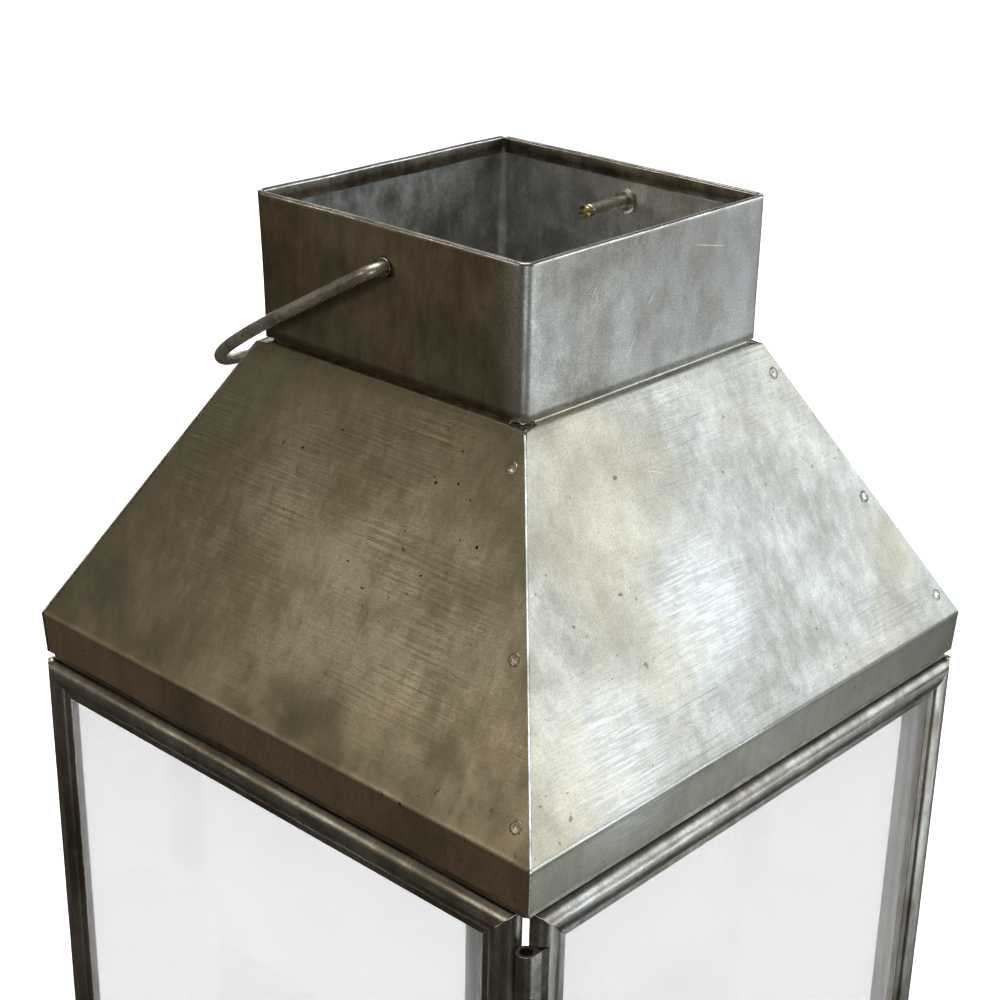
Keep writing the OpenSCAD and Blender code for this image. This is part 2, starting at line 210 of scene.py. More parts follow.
def patina(name, dark, light, rough=(0.34, 0.5), tint=(0.30, 0.22, 0.13), line=0.0,
           line_turn=(0, 0, 0), line_scale=(10, 10, 620), speck=0.0, blotch=13, pits=0.00010,
           metallic=1.0, shift=0.0, fades=(), uneven=1.0, gold=0.0, glare_spots=()):
    """Aged sheet metal: broad stains, finer mottling, brush lines in patches and dark pits.

    Each fade is (axis, start, end, share, colour), a mottled colour setting in along an axis
    (painted shade on the frames' tops and the hinge leaves).
    Each glare spot is (centre, radius), a painted highlight laid on in bright hair lines.
    """
    s = Shader(name)
    at = s.mapping(move=(shift, shift * 0.7, shift * 1.3))
    broad = s.noise(blotch, 4, 0.55, 0.3, at)
    cloud = s.noise(blotch * 2.3, 7, 0.62, 0.15, at)
    streak = s.noise(1, 5, 0.68, 0.1, s.mapping((170, 170, 60), move=(shift, 0, 0)))
    grain = s.noise(1700, 3, 0.6, 0, at)
    middle = 0.5 - 0.5 * uneven
    colour = s.mix(s.ramp(broad, 0.34, 0.66, middle, 1 - middle), dark, light)
    colour = s.mix(s.ramp(cloud, 0.46, 0.66, 0, 0.42 * uneven), colour, tint)
    colour = s.mix(s.ramp(streak, 0.46, 0.66, 0, 0.42), colour, shade(dark, 0.72))
    colour = s.mix(s.ramp(streak, 0.50, 0.34, 0, 0.32), colour, shade(light, 1.25))
    if gold:
        warm = s.noise(15, 4, 0.55, 0.4, s.mapping(move=(0.62, 0.2, 0.9)))
        colour = s.mix(s.ramp(warm, 0.36, 0.72, 0, gold), colour, (0.53, 0.45, 0.30))
    for axis, start, end, share, fade_colour in fades:
        amount = s.ramp(s.axis(axis), start, end, 0, share)
        amount = s.math("MULTIPLY", amount, s.ramp(broad, 0.3, 0.62, 0.55, 1.15))
        mottled = s.mix(s.ramp(cloud, 0.38, 0.64), shade(fade_colour, 1.15), shade(fade_colour, 0.76))
        mottled = s.mix(s.ramp(streak, 0.46, 0.66, 0, 0.26), mottled, shade(fade_colour, 0.6))
        mottled = s.mix(s.ramp(streak, 0.50, 0.34, 0, 0.22), mottled, shade(fade_colour, 1.3))
        colour = s.mix(amount, colour, mottled)
    colour = s.mix(s.ramp(grain, 0.38, 0.66, 0, 0.42), colour, shade(dark, 0.6))
    roughness = s.ramp(cloud, 0.34, 0.66, *rough)
    # painted highlight: the glare spots are brightened in hair lines
    for centre, radius in glare_spots:
        away = s.add("ShaderNodeVectorMath", operation="DISTANCE")
        away.inputs[1].default_value = centre
        s.link(s.coord, away.inputs[0])
        shine = s.math("MULTIPLY", s.ramp(away.outputs["Value"], radius, 0),
                       s.ramp(cloud, 0.34, 0.58, 0.45, 1.1))
        hairs = s.noise(1, 3, 0.6, 0.4, s.mapping((75, 75, 1250), line_turn))
        hairs = s.math("MULTIPLY", shine, s.ramp(hairs, 0.44, 0.62, 0.30, 1))
        colour = s.mix(s.math("MULTIPLY", hairs, 0.72), colour, (0.80, 0.80, 0.79))
    normal = s.bump(cloud, 0.00022, 0.5)
    normal = s.bump(streak, 0.00006, 0.5, normal)
    normal = s.bump(grain, pits, 0.5, normal)
    if line:
        lines = s.noise(1, 2, 0.5, 0.25, s.mapping(line_scale, line_turn))
        patch = s.ramp(s.noise(16, 2, 0.5, 0.2, s.mapping(move=(0.31, 0.12, 0.4))), 0.44, 0.62)
        rows = s.math("MULTIPLY", lines, s.math("ADD", s.math("MULTIPLY", patch, 0.8), 0.2))
        # the skirt below the eaves has no brush lines
        rows = s.math("MULTIPLY", rows, s.ramp(s.axis(2), EAVE_Z, EAVE_Z + 0.004))
        normal = s.bump(rows, 0.00016 * line, 1.0, normal)
    if speck:
        spots = s.ramp(s.noise(330, 2, 0.4, 0, at), 0.70, 0.76)
        where = s.ramp(s.noise(26, 2, 0.5, 0, at), 0.48, 0.6)
        spots = s.math("MULTIPLY", spots, s.math("MULTIPLY", where, speck))
        colour = s.mix(spots, colour, (0.045, 0.022, 0.012))
    return s.done(s.principled(Base_Color=colour, Metallic=metallic, Roughness=roughness,
                               Normal=normal))


def on_front(x, z):
    """A place on the outer face of the roof's front panel."""
    return (x, -EAVE + (z - EAVE_Z) * (EAVE - COLLAR) / (ROOF_TOP - EAVE_Z), z)


# the axis, start and end of a fade that sets in at the fold below the eaves
AT_SKIRT = (2, EAVE_Z + 0.002, EAVE_Z - 0.002)

roof_side = patina("roof_metal", (0.35, 0.335, 0.29), (0.56, 0.545, 0.495), (0.33, 0.44), line=1.35,
                   tint=(0.40, 0.345, 0.25), line_turn=(0, 8, 0), line_scale=(34, 34, 760),
                   speck=0.6, gold=0.62, uneven=0.3,
                   fades=((0, -0.02, -0.125, 0.42, (0.46, 0.385, 0.26)),
                          (*AT_SKIRT, 0.8, (0.345, 0.322, 0.255))),
                   glare_spots=((on_front(-0.079, 0.442), 0.044), (on_front(-0.013, 0.472), 0.042)))
roof_far = patina("roof_metal_side", (0.27, 0.24, 0.165), (0.47, 0.43, 0.325), (0.35, 0.47),
                  line=0.9, line_scale=(34, 34, 760), speck=1.0, shift=0.43, uneven=1.15, gold=0.12,
                  fades=((1, 0.0, 0.13, 0.95, (0.165, 0.14, 0.095)),
                         (2, 0.470, 0.432, 0.85, (0.20, 0.175, 0.12)),
                         (2, 0.50, 0.545, 0.6, (0.25, 0.215, 0.13)),
                         (*AT_SKIRT, 0.9, (0.72, 0.55, 0.38))))
collar_metal = patina("collar_metal", (0.215, 0.165, 0.10), (0.39, 0.33, 0.225), (0.36, 0.5),
                      blotch=20, tint=(0.22, 0.15, 0.085), speck=0.3, shift=1.7, uneven=0.8,
                      fades=((1, -0.053, -0.0664, 0.85, (0.73, 0.712, 0.665)),
                             (0, -0.01, 0.06, 0.80, (0.98, 0.95, 0.86))))
collar_inside = patina("collar_inside", (0.20, 0.195, 0.175), (0.84, 0.84, 0.79), (0.42, 0.6),
                       blotch=30, tint=(0.13, 0.12, 0.10), speck=0.2, shift=2.9,
                       fades=((0, 0.015, 0.0655, 0.55, (0.86, 0.86, 0.83)),))
# painted shade: the frames darken to near black at their tops, for the shaded gap under the skirt
frame_metal = patina("frame_metal", (0.24, 0.205, 0.155), (0.52, 0.50, 0.455), (0.28, 0.42),
                     blotch=22, tint=(0.24, 0.16, 0.10), speck=0.3, shift=0.9,
                     fades=((2, FRAME_TOP - 0.0016, FRAME_TOP - 0.0003, 0.95,
                             (0.02, 0.017, 0.014)),))
# painted highlight along the crest of the frame members
crest_highlight = patina("crest_highlight", (0.40, 0.37, 0.32), (0.68, 0.66, 0.62), (0.28, 0.38),
                     blotch=40, tint=(0.36, 0.29, 0.22), shift=1.1)
aged_metal = patina("aged_metal", (0.22, 0.20, 0.155), (0.44, 0.41, 0.34), (0.34, 0.5), blotch=18,
                    speck=0.4, shift=3.7)
cut_edge = patina("cut_edge", (0.34, 0.32, 0.28), (0.74, 0.72, 0.68), (0.22, 0.34), blotch=60,
                  tint=(0.34, 0.27, 0.19), shift=0.2)
rubbed_edge = patina("rubbed_edge", (0.42, 0.40, 0.36), (0.78, 0.78, 0.76), (0.22, 0.34), blotch=45,
                     tint=(0.30, 0.25, 0.20), shift=0.7)
# painted highlight along the eave fold
fold_highlight = patina("fold_highlight", (0.64, 0.62, 0.56), (0.84, 0.83, 0.80), (0.26, 0.36), blotch=45,
                   tint=(0.60, 0.56, 0.47), pits=0.00003, shift=0.5)
handle_metal = patina("handle_brass", (0.40, 0.36, 0.275), (0.80, 0.75, 0.63), (0.24, 0.36),
                      blotch=55, tint=(0.27, 0.21, 0.13), pits=0.00016, metallic=0.93, shift=5.1)
tip_brass = patina("bright_brass", (0.62, 0.44, 0.20), (0.86, 0.67, 0.36), (0.24, 0.38), blotch=120,
                   tint=(0.42, 0.29, 0.14), shift=6.1)
eyelet_metal = patina("eyelet_metal", (0.50, 0.47, 0.42), (0.84, 0.82, 0.78), (0.26, 0.4),
                      blotch=110, tint=(0.36, 0.30, 0.24), shift=6.9)
scratch_light = patina("scratch_light", (0.70, 0.69, 0.66), (0.93, 0.93, 0.91), (0.4, 0.5),
                       blotch=90, tint=(0.7, 0.68, 0.64), metallic=0.15, shift=7.1)
solder = patina("solder", (0.62, 0.60, 0.56), (0.84, 0.83, 0.80), (0.2, 0.36), blotch=160,
                tint=(0.40, 0.30, 0.20), shift=7.7)
pin_steel = patina("pin_steel", (0.055, 0.05, 0.045), (0.15, 0.14, 0.13), (0.4, 0.55), blotch=90,
                   tint=(0.09, 0.06, 0.04), shift=8.3)
# painted shade for the gap under the collar
gap_shade = patina("gap_shade", (0.035, 0.028, 0.02), (0.10, 0.08, 0.055), (0.4, 0.6), blotch=70,
                   tint=(0.05, 0.035, 0.02), shift=8.9)
hem_dark = patina("hem_dark", (0.10, 0.085, 0.06), (0.26, 0.225, 0.17), (0.34, 0.5), blotch=60,
                  tint=(0.14, 0.09, 0.055), shift=9.4)


def glass_material():
    """Faintly tinted, slightly hazy sheet glass that lets the lamps through."""
    s = Shader("glass")
    film = s.noise(9, 4, 0.6, 0.6)
    rough = s.ramp(film, 0.35, 0.7, 0.0, 0.008)
    normal = s.bump(s.noise(5, 2, 0.5, 0.3), 0.0006, 0.08)
    clear = s.principled(Base_Color=(0.765, 0.763, 0.767), Roughness=rough, IOR=1.45,
                         Specular_IOR_Level=0.04, Transmission_Weight=1.0, Normal=normal)
    through = s.add("ShaderNodeBsdfTransparent")
    through.inputs["Color"].default_value = (0.95, 0.965, 0.962, 1)
    dust = s.add("ShaderNodeBsdfTranslucent")
    dust.inputs["Color"].default_value = (0.93, 0.93, 0.93, 1)
    hazy = s.add("ShaderNodeMixShader")
    s.link(s.ramp(film, 0.3, 0.7, 0.09, 0.12), hazy.inputs[0])
    s.link(clear, hazy.inputs[1])
    s.link(dust.outputs[0], hazy.inputs[2])
    path = s.add("ShaderNodeLightPath")
    mixed = s.add("ShaderNodeMixShader")
    s.link(path.outputs["Is Shadow Ray"], mixed.inputs[0])
    s.link(hazy.outputs[0], mixed.inputs[1])
    s.link(through.outputs[0], mixed.inputs[2])
    return s.done(mixed.outputs[0])


def wax_material():
    """Ivory wax with a faint bloom."""
    s = Shader("wax")
    bloom = s.noise(34, 5, 0.6, 0.4)
    pores = s.noise(700, 3, 0.6)
    colour = s.mix(s.ramp(bloom, 0.35, 0.7), (0.83, 0.74, 0.58), (0.91, 0.86, 0.73))
    colour = s.mix(s.ramp(pores, 0.55, 0.75, 0, 0.25), colour, (0.95, 0.92, 0.85))
    normal = s.bump(pores, 0.00008, 0.5, s.bump(bloom, 0.0006, 0.4))
    return s.done(s.principled(Base_Color=colour, Roughness=s.ramp(bloom, 0.3, 0.7, 0.36, 0.5),
                               Subsurface_Weight=0.35, Subsurface_Scale=0.006, Normal=normal))


def wick_material():
    """Twisted cotton, charred dark."""
    s = Shader("wick")
    wave = s.add("ShaderNodeTexWave", wave_type="BANDS", bands_direction="DIAGONAL")
    wave.inputs["Scale"].default_value = 420
    wave.inputs["Distortion"].default_value = 1.5
    s.link(s.coord, wave.inputs["Vector"])
    colour = s.mix(s.ramp(s.noise(300, 3), 0.35, 0.65), (0.016, 0.013, 0.011), (0.09, 0.075, 0.06))
    return s.done(s.principled(Base_Color=colour, Roughness=0.9,
                               Normal=s.bump(wave.outputs["Fac"], 0.0003, 0.8)))


glass = glass_material()
wax = wax_material()
wick = wick_material()

# ---------- mesh helpers ----------


def new_mesh(name, verts, faces):
    """A mesh whose faces all look outward."""
    mesh = bpy.data.meshes.new(name)
    mesh.from_pydata(verts, [], faces)
    mesh.validate()
    bm = bmesh.new()
    bm.from_mesh(mesh)
    bmesh.ops.recalc_face_normals(bm, faces=bm.faces)
    bm.to_mesh(mesh)
    bm.free()
    return mesh


def new_piece(name, verts, faces, material, body, slot, smooth=True, *replaced):
    """Makes a mesh piece that rides on a body and stands for the CAD nodes given."""
    mesh = new_mesh(name, verts, faces)
    for m in material if isinstance(material, (list, tuple)) else [material]:
        mesh.materials.append(m)
    obj = new_object(name, mesh)
    for p in mesh.polygons:
        p.use_smooth = smooth
    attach(obj, body)
    if replaced:
        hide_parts(*replaced)
    return obj


def soften(obj, width, segments=2, angle=25, edge_slot=None):
    """Rounds an object's edges; the rounding can take another material slot."""
    m = obj.modifiers.new("bevel", "BEVEL")
    m.width = width
    m.segments = segments
    m.limit_method = "ANGLE"
    m.angle_limit = math.radians(angle)
    m.miter_outer = "MITER_ARC"
    if edge_slot is not None:
        m.material = edge_slot
    n = obj.modifiers.new("normals", "WEIGHTED_NORMAL")
    n.keep_sharp = True


def dress(node, *materials, width=None, edge_slot=None, angle=25, segments=2):
    """Gives a CAD node its materials and, where a width is given, rounded edges."""
    obj = NODES[node]
    obj.data.materials.clear()
    for m in materials:
        obj.data.materials.append(m)
    if width:
        weld = obj.modifiers.new("weld", "WELD")
        weld.merge_threshold = 1e-6
        flat = obj.modifiers.new("flat", "DECIMATE")
        flat.decimate_type = "DISSOLVE"
        flat.angle_limit = math.radians(0.8)
        soften(obj, width, segments, angle, edge_slot)
    return obj


def sweep(path, radii, sides, closed_ends=True):
    """Tube through the points of path, with a radius, or a function of the angle, at each."""
    verts, faces = [], []
    count = len(path)
    side = None
    for i, p in enumerate(path):
        run = (path[min(i + 1, count - 1)] - path[max(i - 1, 0)]).normalized()
        if side is None:
            side = run.orthogonal().normalized()
        side = (side - run * side.dot(run)).normalized()
        other = run.cross(side)
        for k in range(sides):
            a = 2 * math.pi * k / sides
            r = radii[i](a) if callable(radii[i]) else radii[i]
            verts.append(p + (side * math.cos(a) + other * math.sin(a)) * r)
    for i in range(count - 1):
        for k in range(sides):
            n = (k + 1) % sides
            faces.append((i * sides + k, i * sides + n, (i + 1) * sides + n, (i + 1) * sides + k))
    if closed_ends:
        faces.append(tuple(range(sides))[::-1])
        faces.append(tuple((count - 1) * sides + k for k in range(sides)))
    return verts, faces


def lathe(profile, centre, axis_turn, sides=64):
    """Solid of revolution from (radius, height) points, turned by a matrix and placed at centre."""
    verts, faces, rings = [], [], []
    for r, h in profile:
        if r < 1e-7:
            rings.append([len(verts)])
            verts.append(Vector((0, 0, h)))
        else:
            rings.append(list(range(len(verts), len(verts) + sides)))
            angles = [2 * math.pi * k / sides for k in range(sides)]
            verts += [Vector((r * math.cos(a), r * math.sin(a), h)) for a in angles]
    for a, b in zip(rings, rings[1:]):
        for k in range(sides):
            n = (k + 1) % sides
            if len(a) == 1 and len(b) > 1:
                faces.append((a[0], b[k], b[n]))
            elif len(b) == 1 and len(a) > 1:
                faces.append((a[k], b[0], a[n]))
            elif len(a) > 1:
                faces.append((a[k], b[k], b[n], a[n]))
    return [centre + axis_turn @ v for v in verts], faces


def wobble(p, size, seed):
    """A small repeatable wander of a point."""
    return noise.noise(Vector((p[0] * size + seed, p[1] * size - seed, p[2] * size + 2 * seed)))


# ---------- roof panels ----------

ROOF_SLOPE = (ROOF_TOP - EAVE_Z) / (EAVE - COLLAR)
FOLD_R = 0.0016


def roof_profile():
    """(distance from the axis, height) down a panel's outer face, from inside the collar."""
    inside = COLLAR - SHEET - 0.0001
    points = [(inside, ROOF_TOP + 0.0045), (inside, ROOF_TOP + 0.0012),
              (inside + 0.0001, ROOF_TOP - 0.0002), (COLLAR - 0.0004, ROOF_TOP - 0.0007),
              (COLLAR + 0.0002, ROOF_TOP - 0.0013)]
    rows = 30
    for i in range(rows + 1):
        t = i / rows
        z = ROOF_TOP - 0.0022 + (EAVE_Z + FOLD_R * 0.45 - ROOF_TOP + 0.0022) * t
        points.append((EAVE - (z - EAVE_Z) / ROOF_SLOPE, z))
    a0 = math.atan2(1, ROOF_SLOPE)
    start, end = points[-1], (EAVE - SKIRT_LEAN * 0.08, EAVE_Z - FOLD_R)
    for i in range(1, 6):
        t = i / 6
        blend = t * t * (3 - 2 * t)
        bulge = math.sin(math.pi * t) * 0.00022
        points.append((start[0] + (end[0] - start[0]) * blend ** 0.75 + bulge * math.cos(a0),
                       start[1] + (end[1] - start[1]) * t))
    for i in range(9):
        t = i / 8
        z = EAVE_Z - FOLD_R + (SKIRT_Z - EAVE_Z + FOLD_R) * t
        points.append((EAVE - SKIRT_LEAN * (EAVE_Z - z) / (EAVE_Z - SKIRT_Z), z))
    return points


def inward(points, gap):
    """The same profile, moved in by the sheet's thickness."""
    moved = []
    for i, (d, z) in enumerate(points):
        a, b = points[max(i - 1, 0)], points[min(i + 1, len(points) - 1)]
        run = Vector((b[0] - a[0], b[1] - a[1])).normalized()
        moved.append((d + run.y * gap, z - run.x * gap))
    moved[-1] = (moved[-1][0], points[-1][1])
    moved[0] = (moved[0][0], points[0][1])
    return moved


def reach(points, z):
    """How far out a profile is at a height."""
    for (d0, z0), (d1, z1) in zip(points, points[1:]):
        if z0 >= z >= z1 and z0 > z1:
            return d0 + (d1 - d0) * (z0 - z) / (z0 - z1)
    return points[0][0] if z > points[0][1] else points[-1][0]


outer_line = roof_profile()
inner_line = inward(outer_line, SHEET)
PROUD = 0.00018                           # how far a panel's edge stands past its neighbour
LAP_GAP = 0.00022                         # space left behind the lap


def roof_sheet(side, seed):
    """One panel: its two faces, the cut edges round them and a gentle unevenness."""
    columns = 56
    turn = Matrix.Rotation(side, 3, "Z")
    verts, faces, edge_faces = [], [], []
    rows = len(outer_line)

    def point(line, i, u):
        d, z = line[i]
        top = z > ROOF_TOP - 0.0018
        if top:
            wide = COLLAR - 0.0066
            x = -wide + 2 * wide * u
        else:
            x0 = -(reach(inner_line, z) - LAP_GAP)
            x1 = reach(outer_line, z) + PROUD
            x = x0 + (x1 - x0) * u
        across = math.sin(math.pi * min(max(u, 0), 1))
        down = (EAVE_Z + 0.004 - z) / (EAVE_Z - ROOF_TOP)
        calm = max(0.0, min(1.0, across * 1.6))
        calm *= max(0.0, math.sin(math.pi * min(max(1 - down, 0), 1)))
        push = 0.0006 * wobble((x, d, z), 17, seed) * calm
        push += 0.00025 * wobble((x, d, z), 48, seed) * calm
        hem = max(0.0, (EAVE_Z - z) / (EAVE_Z - SKIRT_Z))
        push += 0.0004 * hem * wobble((x, 0, 0), 30, seed + 3) * across - 0.00022 * hem * across
        rise = 0.0016 * hem ** 3 * abs(wobble((x, 0.2, 0), 15, seed + 5)) * across
        return turn @ Vector((x, -d - min(push, 0.0004), z + rise))

    for line in (outer_line, inner_line):
        for i in range(rows):
            verts += [point(line, i, k / columns) for k in range(columns + 1)]
    stride = columns + 1
    back = rows * stride
    for i in range(rows - 1):
        for k in range(columns):
            a = i * stride + k
            faces.append((a, a + 1, a + 1 + stride, a + stride))
            faces.append((back + a, back + a + stride, back + a + stride + 1, back + a + 1))
        for k in (0, columns):
            a = i * stride + k
            edge_faces.append((a, a + stride, back + a + stride, back + a))
    for i in (0, rows - 1):
        for k in range(columns):
            a = i * stride + k
            edge_faces.append((a, a + 1, back + a + 1, back + a))
    return verts, faces, edge_faces


for name, side, seed, material in (
        ("front", 0, 3.1, roof_side), ("right", math.pi / 2, 8.7, roof_far),
        ("back", math.pi, 15.2, roof_side), ("left", -math.pi / 2, 22.9, roof_far)):
    verts, faces, edges = roof_sheet(side, seed)
    node = "roof_panel_" + name
    piece = new_piece(node + "_sheet", verts, faces + edges,
                      [material, cut_edge, gap_shade, fold_highlight],
                      "lantern", "roof_metal", True, node)
    for p in piece.data.polygons[:len(faces)]:
        # painted shade: on all but the front panel, the strip running under the collar is painted
        # near black, for the shaded gap below the collar
        if name != "front" and p.center.z > ROOF_TOP - 0.0014:
            p.material_index = 2
        # painted highlight: the fold is painted bright along part of its length
        at_fold = abs(p.center.z - EAVE_Z) < 0.0003
        if name in ("front", "back") and at_fold and p.center.x < -0.005:
            p.material_index = 3
    for p in piece.data.polygons[len(faces):]:
        p.material_index = 1
        p.use_smooth = False
    soften(piece, 0.00014, 2, 75, 1)

# ---------- collar ----------


def collar_sheet():
    """Bent strip with a hem rolled in at its top, slightly sprung at its rear left corner."""
    straight = COLLAR - COLLAR_BEND
    plan = []
    for corner, (sx, sy) in enumerate(((1, 1), (-1, 1), (-1, -1), (1, -1))):
        for k in range(9):
            a = math.radians(90 * corner + 90 * k / 8)
            plan.append((sx * straight, sy * straight, math.cos(a), math.sin(a)))
        steps = 22
        a = math.radians(90 * corner + 90)
        c, n = (sx * straight, sy * straight), (math.cos(a), math.sin(a))
        nsx, nsy = ((-1, 1), (-1, -1), (1, -1), (1, 1))[corner]
        for k in range(1, steps):
            t = k / steps
            plan.append((c[0] + (nsx * straight - c[0]) * t,
                         c[1] + (nsy * straight - c[1]) * t, *n))
    hem = 0.007
    section = [(0, ROOF_TOP + 0.0004), (0, ROOF_TOP + 0.004)]
    section += [(0, ROOF_TOP + 0.004 + (TOP_Z - ROOF_TOP - 0.006) * k / 12) for k in range(1, 13)]
    section += [(-SHEET * (1 - math.cos(a)), TOP_Z - SHEET + SHEET * math.sin(a))
                for a in [math.radians(30 * k) for k in range(7)]]
    section += [(-2 * SHEET, TOP_Z - hem * 0.5), (-2 * SHEET, TOP_Z - hem + 0.0003),
                (-1.7 * SHEET, TOP_Z - hem), (-1.05 * SHEET, TOP_Z - hem + 0.0001),
                (-SHEET, TOP_Z - hem - 0.0006)]
    section += [(-SHEET, TOP_Z - hem - 0.0006 + (ROOF_TOP + 0.0012 - TOP_Z + hem) * k / 12)
                for k in range(1, 13)]
    verts, faces = [], []
    rows = len(section)
    for px, py, nx, ny in plan:
        for inset, z in section:
            r = COLLAR_BEND + inset
            # the wall is kept flat round the handle's holes
            from_hole = math.hypot(py, z - PIVOT_Z) if abs(nx) > 0.9 else 1
            wander = 0.00045 * wobble((px + nx * r, py + ny * r, z), 26, 4.4)
            wander *= min(1, max(0, from_hole - 0.010) / 0.02)
            high = max(0.0, (z - ROOF_TOP) / (TOP_Z - ROOF_TOP))
            out = r + min(wander, 0.0002) - 0.0002
            x, y = px + nx * out, py + ny * out
            # the rear left corner springs out towards its top
            spring = 0.0011 * high ** 2 * max(0, -x / COLLAR) ** 3 * max(0, y / COLLAR) ** 3
            dip = 0.0005 * abs(wobble((px, py, 0), 15, 9.1)) * high
            verts.append(Vector((x - spring, y + spring, z - dip)))
    count = len(plan)
    for i in range(count):
        j = (i + 1) % count
        for k in range(rows):
            n = (k + 1) % rows
            faces.append((i * rows + k, i * rows + n, j * rows + n, j * rows + k))
    return verts, faces, rows


verts, faces, rows = collar_sheet()
collar = new_piece("collar_strip", verts, faces,
                   [collar_metal, collar_inside, rubbed_edge, hem_dark],
                   "lantern", "collar_metal", True, "collar")
# round the section: outer face, rolled top edge, hem, inner face
for i, p in enumerate(collar.data.polygons):
    k = i % rows
    p.material_index = 0 if k < 14 else 2 if k < 20 else 3 if k < 24 else 1

# the two holes for the handle
hole_r = 0.0031
for side in (-1, 1):
    plug = lathe([(0, -0.004), (hole_r, -0.004), (hole_r, 0.004), (0, 0.004)],
                 Vector((side * COLLAR, 0, PIVOT_Z)), Matrix.Rotation(math.pi / 2, 3, "Y"), 40)
    cutter = new_object("cutter", new_mesh("hole", *plug))
    cut = collar.modifiers.new("hole", "BOOLEAN")
    cut.object = cutter
    cut.operation = "DIFFERENCE"
    cut.solver = "EXACT"
    bpy.context.view_layer.update()
    depsgraph = bpy.context.evaluated_depsgraph_get()
    holed = bpy.data.meshes.new_from_object(collar.evaluated_get(depsgraph))
    collar.modifiers.clear()
    collar.data = holed
    bpy.data.objects.remove(cutter)

# end of the strip, lapped inside the left wall at its rear corner
tab_x = -COLLAR + SHEET
tab_y1 = COLLAR - COLLAR_BEND
verts = []
for y in (tab_y1 - 0.012, tab_y1):
    for dx, z in ((0.0001, ROOF_TOP + 0.0085), (SHEET, ROOF_TOP + 0.008),
                  (SHEET, TOP_Z - 0.0075), (0.0001, TOP_Z - 0.0078)):
        verts.append(Vector((tab_x + dx, y, z)))
faces = [(0, 1, 2, 3), (7, 6, 5, 4), (0, 4, 5, 1), (1, 5, 6, 2), (2, 6, 7, 3), (3, 7, 4, 0)]
tab = new_piece("collar_lap", verts, faces, [collar_inside, rubbed_edge],
                "lantern", "collar_metal", False)
soften(tab, 0.0003, 2, 30, 1)

# ---------- bail handle ----------


def handle_path():
    """Centre line of the rod from the left end to the right, in the handle's own plane."""
    arm_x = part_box("bail_handle")[1].x - ROD / 2
    elbow, stub, arm, grip, turn = 0.005, 0.030, 0.040, 0.036, math.radians(45)
    shoulder = (arm_x - grip * math.cos(turn)) / (1 - math.cos(turn))
    half = []
    for k in range(13):
        half.append((arm_x - elbow - stub + stub * k / 12, 0))
    for k in range(1, 11):
        a = math.radians(-90 + 9 * k)
        half.append((arm_x - elbow + elbow * math.cos(a), elbow + elbow * math.sin(a)))
    for k in range(1, 15):
        half.append((arm_x, elbow + arm * k / 14))
    for k in range(1, 41):
        a = turn * k / 40
        half.append((arm_x - shoulder * (1 - math.cos(a)), elbow + arm + shoulder * math.sin(a)))
    centre = elbow + arm + (shoulder - grip) * math.sin(turn)
    for k in range(1, 15):
        a = turn + (math.pi / 2 - turn) * k / 14
        half.append((grip * math.cos(a), centre + grip * math.sin(a)))
    return [(-x, y) for x, y in half] + half[-2::-1], centre + grip


flat_path, handle_len = handle_path()
droop = math.asin((PIVOT_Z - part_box("bail_handle")[0].z - ROD / 2) / handle_len)
path = [Vector((x, y * math.cos(droop), PIVOT_Z - y * math.sin(droop))) for x, y in flat_path]
radii = []
for p in path:
    swell = 0.00004 * wobble(p, 60, 2.2)
    radii.append(lambda a, s=swell, q=p: ROD / 2 - 0.00005 + s + 0.00003 * noise.noise(
        Vector((math.cos(a) * 2, math.sin(a) * 2, q.y * 90 + q.x * 60))))
# both ends of the rod are rounded over
for end in (0, len(path) - 1):
    step = 1 if end == 0 else -1
    inwards = (path[end + step] - path[end]).normalized()
    extra = [path[end], path[end] + inwards * 0.00018, path[end] + inwards * 0.0005]
    if end == 0:
        path = extra + path[1:]
        radii = [ROD / 2 - 0.00055, ROD / 2 - 0.00022, ROD / 2 - 0.00006] + radii[1:]
    else:
        path = path[:-1] + extra[::-1]
        radii = radii[:-1] + [ROD / 2 - 0.00006, ROD / 2 - 0.00022, ROD / 2 - 0.00055]
verts, faces = sweep(path, radii, 28)
handle = new_piece("bail_rod", verts, faces, [handle_metal, tip_brass],
                   "bail", "handle_brass", True, "bail_handle")
for p in handle.data.polygons:
    if abs(p.center.x) < abs(path[0].x) + 0.0045 and abs(p.center.y) < 0.004:
        p.material_index = 1

# flanged eyelets, rolled over outside and clinched inside
flange = [(0.00262, -0.0022), (0.0029, -0.00235), (0.0049, -0.0021), (0.0052, -0.0017),
          (0.0050, -0.00125), (0.0042, -0.00105), (0.0032, -0.0010), (0.00305, -0.0008),
          (0.00305, 0.0), (0.0034, 0.00002), (0.00352, 0.00018), (0.0034, 0.00036),
          (0.0031, 0.00036), (0.0028, 0.0001), (0.00262, -0.0006), (0.00262, -0.0022)]
for side, name in ((-1, "left"), (1, "right")):
    verts, faces = lathe(flange, Vector((side * COLLAR, 0, PIVOT_Z)),
                         Matrix.Rotation(side * math.pi / 2, 3, "Y"), 48)
    eyelet = new_piece("eyelet_" + name, verts, faces, eyelet_metal, "lantern", "bright_brass")
    if side == 1:
        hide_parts("bail_eyelets")

# ---------- carried-over CAD nodes ----------

FACE_W, LIP_DEPTH, LIP_W, MEMBER_DEPTH, CREST = 0.011, 0.002, 0.0032, 0.006, 0.0052


